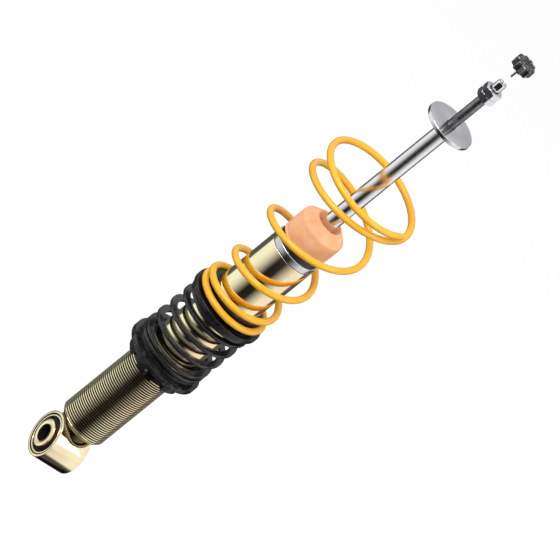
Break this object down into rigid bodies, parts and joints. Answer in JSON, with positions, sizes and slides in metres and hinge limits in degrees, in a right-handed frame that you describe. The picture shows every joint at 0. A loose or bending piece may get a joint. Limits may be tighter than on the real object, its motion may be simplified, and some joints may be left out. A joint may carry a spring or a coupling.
{
  "type": "coilover",
  "caption": "Height-adjustable coilover damper with conical main spring, helper spring, foam bump stop, lower rubber-bushed eye, threaded stud and plug-in damping knob.",
  "frame": {"origin": "centre of the lower eye's bore, midway along it", "axes": "+Z along the damper axis towards the stud, +Y along the lower eye's bore, +X square to both"},
  "size_m": [0.1125, 0.1121, 0.629],
  "materials": {
    "gold_plated_steel": "polished",
    "bright_steel": "satin",
    "hard_chrome": "mirror",
    "polished_steel": "polished",
    "weld_metal": "satin",
    "spring_steel": "satin",
    "sintered_steel": "matte",
    "black_anodised": "satin",
    "aluminium": "satin",
    "bronze": "satin",
    "black_plastic": "satin",
    "low_friction_plastic": "satin",
    "yellow_powder_coat": "gloss",
    "black_powder_coat": "semi-gloss",
    "bush_rubber": "matte",
    "seal_rubber": "matte",
    "bump_foam": "matte"
  },
  "bodies": {
    "damper_body": {"body_tube": "gold_plated_steel", "tube_base": "gold_plated_steel", "base_o_ring": "seal_rubber", "lower_eye": "gold_plated_steel", "eye_weld": "weld_metal", "bush_outer_sleeve": "gold_plated_steel", "bush_rubber": "bush_rubber", "rod_guide": "aluminium", "guide_bush": "bronze", "guide_o_ring": "seal_rubber", "rod_seal": "seal_rubber", "end_ring": "bright_steel", "dust_wiper": "seal_rubber", "dust_cap": "black_plastic"},
    "eye_sleeve": {"bush_inner_sleeve": "gold_plated_steel"},
    "gas_piston": {"gas_piston": "aluminium", "gas_piston_o_ring": "seal_rubber"},
    "rod_assembly": {"piston_rod": "hard_chrome", "support_disc": "polished_steel", "piston": "sintered_steel", "piston_band": "low_friction_plastic", "compression_shims": "spring_steel", "rebound_shims": "spring_steel", "piston_nut": "bright_steel", "rebound_stop": "low_friction_plastic", "stud_nuts": "polished_steel"},
    "damping_adjuster": {"adjuster_rod": "bright_steel", "adjuster_o_ring": "seal_rubber"},
    "knob": {"adjuster_knob": "black_anodised", "knob_key": "bright_steel"},
    "bump_stop": {"bump_stop": "bump_foam"},
    "spring_seat": {"seat_ring": "black_anodised", "slip_washer": "low_friction_plastic", "helper_spring": "black_powder_coat"},
    "collar": {"adjuster_collar": "black_anodised", "collar_screw": "spring_steel", "collar_lock_pad": "low_friction_plastic"},
    "spring_spacer": {"spacer_ring": "black_anodised", "main_spring": "yellow_powder_coat"}
  },
  "joints": [
    {"name": "eye_pivot", "type": "hinge", "parent": "damper_body", "child": "eye_sleeve", "pos_m": [0, 0, 0], "axis": [0, 1, 0], "range_deg": [-12, 12], "stiffness_Nm_per_rad": 90},
    {"name": "rod_slide", "type": "slide", "parent": "damper_body", "child": "rod_assembly", "axis": [0, 0, 1], "range_m": [-0.15, 0], "stiffness_N_per_m": 20000, "springref_m": 0.0075, "deforming": ["main_spring", "helper_spring"]},
    {"name": "gas_piston_slide", "type": "slide", "parent": "damper_body", "child": "gas_piston", "axis": [0, 0, 1], "range_m": [-0.0215, 0.0005]},
    {"name": "helper_compression", "type": "slide", "parent": "spring_seat", "child": "spring_spacer", "axis": [0, 0, 1], "range_m": [-0.0455, 0.0005], "deforming": ["helper_spring"]},
    {"name": "collar_turn", "type": "hinge", "parent": "spring_seat", "child": "collar", "pos_m": [0, 0, 0.133], "axis": [0, 0, 1], "range_deg": [-11520, 0]},
    {"name": "seat_height", "type": "slide", "parent": "damper_body", "child": "spring_seat", "axis": [0, 0, 1], "range_m": [-0.0805, 0.0005]},
    {"name": "bump_stop_slide", "type": "slide", "parent": "damper_body", "child": "bump_stop", "axis": [0, 0, 1], "range_m": [0, 0.14]},
    {"name": "rebound_adjust", "type": "hinge", "parent": "rod_assembly", "child": "damping_adjuster", "pos_m": [0, 0, 0.5732], "axis": [0, 0, 1], "range_deg": [0, 720]},
    {"name": "knob_plug", "type": "slide", "parent": "damping_adjuster", "child": "knob", "axis": [0, 0, 1], "range_m": [-0.0205, 0]}
  ],
  "couplings": [
    {"joint": "gas_piston_slide", "follows": "rod_slide", "ratio": 0.13845},
    {"joint": "helper_compression", "follows": "rod_slide", "ratio": 0.3},
    {"joint": "seat_height", "follows": "collar_turn", "m_per_rad": 0.00039789}
  ]
}
